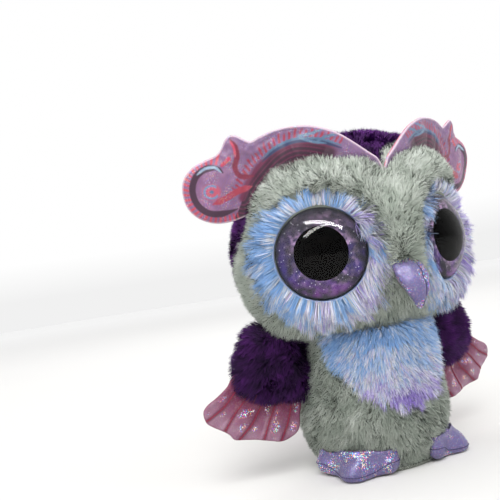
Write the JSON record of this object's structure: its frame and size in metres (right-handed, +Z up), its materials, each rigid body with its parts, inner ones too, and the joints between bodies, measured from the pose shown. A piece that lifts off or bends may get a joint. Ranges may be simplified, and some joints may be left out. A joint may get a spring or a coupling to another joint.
{
  "type": "interactive plush owl",
  "caption": "Plush owl toy with big clear eyes, flared print horns, jointed wings, feet and tail, swivel head and a sound box in its body.",
  "frame": {"origin": "on the table under the centre of the body, at the middle of the flat base panel", "axes": "+Z up through the body's axis, -Y the way the face looks, +X the owl's own left"},
  "size_m": [0.2076, 0.1622, 0.1987],
  "materials": {
    "grey_plush": "short-pile plush, soft",
    "purple_plush": "dense plush, soft",
    "tipped_plush": "long-pile plush, pale blue tipped with lilac",
    "base_fabric": "flat woven fabric",
    "stuffing": "loose polyester fibre",
    "glitter_lilac": "glitter twill, lilac",
    "glitter_coral": "glitter twill, coral pink",
    "printed_satin": "printed satin with glitter",
    "feather_satin": "sheer satin with glitter, stitched ribs",
    "clear_dome": "polished clear",
    "pupil_black": "gloss",
    "iris_print": "printed nebula, metallic lacquer",
    "eye_back": "gloss",
    "washer_plastic": "natural",
    "disc_board": "pressed board",
    "steel": "zinc plated",
    "case_plastic": "moulded, fine texture",
    "dark_plastic": "moulded",
    "pink_plastic": "moulded",
    "board_green": "solder mask",
    "speaker_black": "paper cone and steel frame",
    "cell_wrap": "printed foil wrap, no marks",
    "spring_steel": "drawn wire",
    "lead_red": "soft sleeve"
  },
  "bodies": {
    "torso": {"body_skin": "grey_plush", "belly_patch": "tipped_plush", "base_panel": "base_fabric", "body_stuffing": "stuffing", "neck_disc_lower": "disc_board", "neck_bolt": "steel", "neck_lock_nut": "steel", "sound_box_base": "case_plastic", "sound_box_lid": "case_plastic", "sound_box_screws": "steel", "circuit_board": "board_green", "speaker": "speaker_black", "battery_front": "cell_wrap", "battery_rear": "cell_wrap", "battery_contacts": "steel", "power_switch_body": "steel", "squeeze_case": "case_plastic", "squeeze_spring": "spring_steel", "squeeze_board": "board_green", "squeeze_leads": "lead_red"},
    "head": {"face_skin": "grey_plush", "head_hood": "purple_plush", "head_stuffing": "stuffing", "beak": "glitter_lilac", "eye_patch_left": "tipped_plush", "eye_patch_right": "tipped_plush", "eye_lens_left": "clear_dome", "eye_lens_right": "clear_dome", "pupil_left": "pupil_black", "pupil_right": "pupil_black", "iris_left": "iris_print", "iris_right": "iris_print", "eye_post_left": "eye_back", "eye_post_right": "eye_back", "eye_washer_left": "washer_plastic", "eye_washer_right": "washer_plastic", "horn_front_left": "printed_satin", "horn_front_right": "printed_satin", "horn_back_left": "glitter_coral", "horn_back_right": "glitter_coral", "neck_disc_upper": "disc_board"},
    "wing_left": {"wing_left": "purple_plush", "wing_feathers_left": "feather_satin"},
    "wing_right": {"wing_right": "purple_plush", "wing_feathers_right": "feather_satin"},
    "foot_left": {"foot_left": "glitter_lilac"},
    "foot_right": {"foot_right": "glitter_lilac"},
    "tail": {"tail_print_panel": "printed_satin", "tail_back_panel": "glitter_coral"},
    "squeeze_button": {"squeeze_button": "pink_plastic"},
    "power_switch": {"power_switch_knob": "dark_plastic"},
    "battery_door": {"battery_door": "case_plastic", "battery_door_screw": "steel"}
  },
  "joints": [
    {"name": "head_turn", "type": "hinge", "parent": "torso", "child": "head", "pos_m": [0, 0, 0.08], "axis": [0, 0, 1], "range_deg": [-35, 35]},
    {"name": "wing_left_swing", "type": "hinge", "parent": "torso", "child": "wing_left", "pos_m": [0.042, -0.001, 0.065], "axis": [0, 0, 1], "range_deg": [-50, 40]},
    {"name": "wing_right_swing", "type": "hinge", "parent": "torso", "child": "wing_right", "pos_m": [-0.042, -0.001, 0.065], "axis": [0, 0, -1], "range_deg": [-50, 40]},
    {"name": "tail_swing", "type": "hinge", "parent": "torso", "child": "tail", "pos_m": [0.003, 0.0436, 0.031], "axis": [0, 0, 1], "range_deg": [-25, 80]},
    {"name": "foot_left_tip", "type": "hinge", "parent": "torso", "child": "foot_left", "pos_m": [0.02451, -0.02057, 0.005], "axis": [-0.6428, -0.766, 0], "range_deg": [0, 12]},
    {"name": "foot_right_tip", "type": "hinge", "parent": "torso", "child": "foot_right", "pos_m": [-0.02451, -0.02057, 0.005], "axis": [-0.6428, 0.766, 0], "range_deg": [0, 12]},
    {"name": "squeeze_button_push", "type": "slide", "parent": "torso", "child": "squeeze_button", "axis": [0, 1, 0], "range_m": [0, 0.0025], "stiffness_N_per_m": 400, "springref_m": -0.0005, "deforming": ["squeeze_spring"]},
    {"name": "power_switch_slide", "type": "slide", "parent": "torso", "child": "power_switch", "axis": [1, 0, 0], "range_m": [-0.003, 0.003]},
    {"name": "battery_door_swing", "type": "hinge", "parent": "torso", "child": "battery_door", "pos_m": [-0.0261, 0, 0.00085], "axis": [0, 1, 0], "range_deg": [0, 90]}
  ]
}
